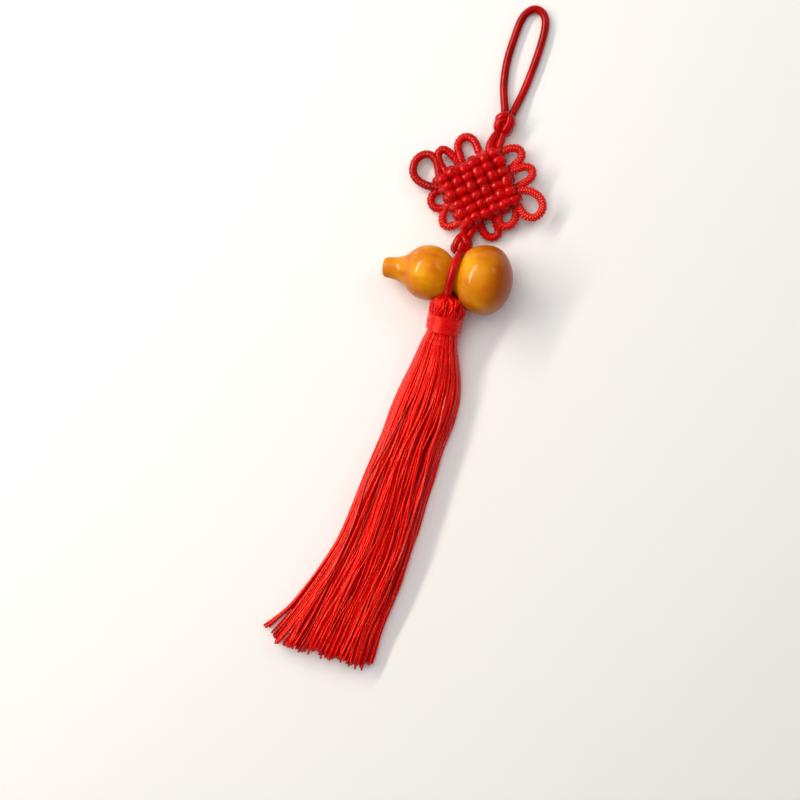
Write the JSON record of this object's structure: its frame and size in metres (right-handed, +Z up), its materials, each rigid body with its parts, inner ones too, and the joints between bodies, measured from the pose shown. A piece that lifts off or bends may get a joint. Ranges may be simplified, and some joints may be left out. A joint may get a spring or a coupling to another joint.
{
  "type": "chinese knot tassel",
  "caption": "Red knotted-cord charm with a woven square knot, a small wooden gourd tied at its waist and a long yarn tassel, lying face up with its hanging loop laid out.",
  "frame": {"origin": "middle of the outline, on the table under it, measured without the free hanging loop", "axes": "+Y along the tassel from the skirt's tips to the hanging loop, +X to the right seen from above, +Z up off the table, out of the knot's face"},
  "size_m": [0.0444, 0.2137, 0.0211],
  "materials": {
    "cord": "satin braided nylon cord",
    "yarn": "lustrous twisted rayon yarn",
    "thread": "glossy wound rayon thread",
    "gourd": "turned, stained and lacquered"
  },
  "bodies": {
    "root": {"hanging_loop": "cord", "knotted_cord": "cord", "gourd_charm": "gourd", "tassel": "yarn", "head_binding": "thread"}
  },
  "joints": []
}
